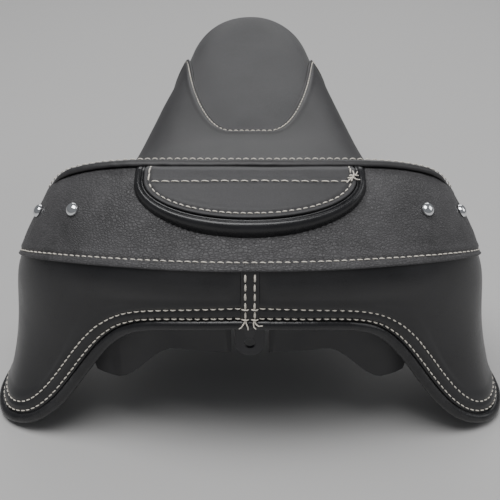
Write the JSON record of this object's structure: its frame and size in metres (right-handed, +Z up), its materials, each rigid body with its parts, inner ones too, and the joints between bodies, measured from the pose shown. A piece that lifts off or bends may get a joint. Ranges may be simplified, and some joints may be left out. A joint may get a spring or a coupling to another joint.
{
  "type": "motorcycle seat",
  "caption": "Solo motorcycle saddle with a narrow raised nose, a grained rear band, a leather skirt arched over the fender and a hinged flap over a backrest socket.",
  "frame": {"origin": "centre of the bolt hole in the rear mounting tab", "axes": "+Z up, +Y forward towards the nose, +X to the rider's right"},
  "size_m": [0.4186, 0.4947, 0.2204],
  "materials": {
    "pan_plastic": "moulded black plastic, fine pebble texture",
    "foam": "open-cell moulded polyurethane foam",
    "smooth_leather": "smooth satin black leather with a very fine grain",
    "nose_leather": "smooth matte black leather",
    "grained_leather": "pebbled black leather with a soft sheen",
    "lining_leather": "raw flesh side of black leather",
    "lining_cloth": "black coated cloth",
    "felt": "black pressed felt",
    "hook_tape": "hook and loop tape",
    "chrome": "polished chrome",
    "zinc_steel": "zinc plated steel",
    "black_steel": "satin black paint over steel",
    "rubber": "black rubber"
  },
  "bodies": {
    "seat": {"seat_pan": "pan_plastic", "pan_felts": "felt", "foam_cushion": "foam", "seat_cover": "smooth_leather", "nose_cover": "nose_leather", "rear_band": "grained_leather", "ridge_welt": "smooth_leather", "pocket_roll": "smooth_leather", "flap_yoke": "nose_leather", "pocket_loop_strip": "hook_tape", "skirt_panel_left": "smooth_leather", "skirt_panel_right": "smooth_leather", "skirt_centre_strip": "smooth_leather", "skirt_lining": "lining_cloth", "skirt_edge_roll": "smooth_leather", "chrome_studs": "chrome", "stud_washers": "zinc_steel", "backrest_receiver": "black_steel", "receiver_bolts": "zinc_steel", "receiver_nuts": "zinc_steel", "rear_tab": "black_steel", "tab_rivets": "zinc_steel", "front_tongue": "black_steel", "tongue_rivets": "zinc_steel", "pan_bumpers": "rubber", "pull_strip": "lining_cloth", "cover_staples": "zinc_steel"},
    "flap": {"flap_cover": "nose_leather", "flap_lining": "lining_leather", "flap_hook_strip": "hook_tape"}
  },
  "joints": [
    {"name": "flap_hinge", "type": "hinge", "parent": "seat", "child": "flap", "pos_m": [0, 0.0347, 0.1141], "axis": [-1, 0, 0], "range_deg": [0, 110]}
  ]
}
